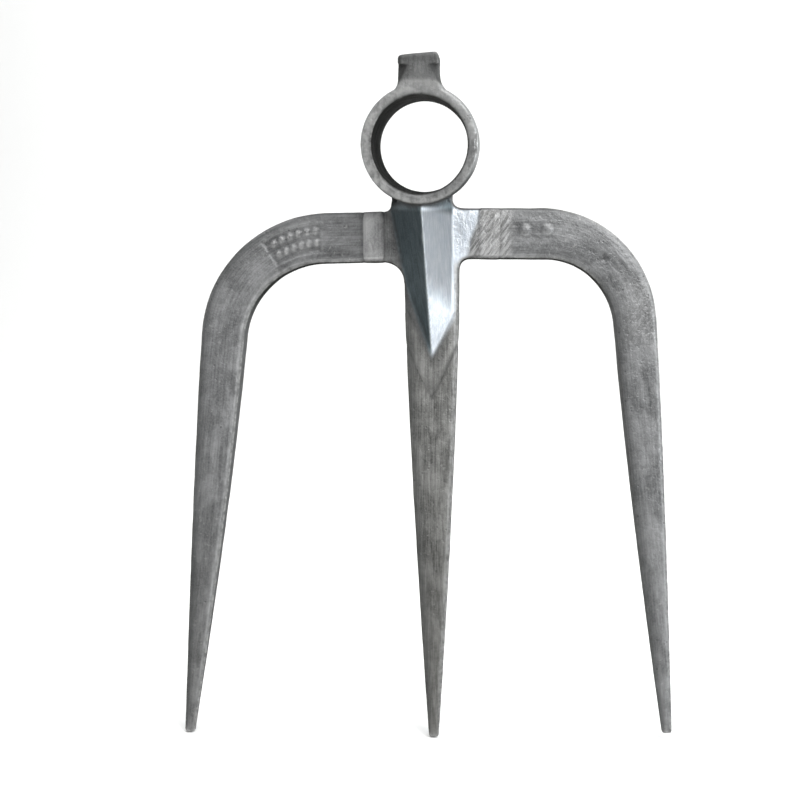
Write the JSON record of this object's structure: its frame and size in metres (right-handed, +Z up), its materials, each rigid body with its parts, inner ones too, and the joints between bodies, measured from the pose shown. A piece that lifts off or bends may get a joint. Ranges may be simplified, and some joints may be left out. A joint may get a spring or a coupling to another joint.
{
  "type": "fork hoe head",
  "caption": "Welded steel fork hoe head: a round handle eye with a striking poll above, a ridged gusset below, and tapered tines on a crossbar.",
  "frame": {"origin": "centre of the handle eye, on its axis and at half its length", "axes": "+Y along the eye's axis, away from the user; +X to the right as the user's side is looked at; +Z up, towards the striking poll, with the tines pointing down"},
  "size_m": [0.2202, 0.0591, 0.2979],
  "materials": {
    "forged_steel": "forged and tumbled grey steel with ground facets, light scale in the hollows",
    "weld_steel": "weld metal dressed flush by grinding, lighter than the forgings"
  },
  "bodies": {
    "root": {"eye_hub": "forged_steel", "left_tine": "forged_steel", "right_tine": "forged_steel", "centre_tine": "forged_steel", "left_weld_front": "weld_steel", "left_weld_back": "weld_steel", "right_weld_front": "weld_steel", "right_weld_back": "weld_steel", "centre_weld_front": "weld_steel", "centre_weld_back": "weld_steel"}
  },
  "joints": []
}
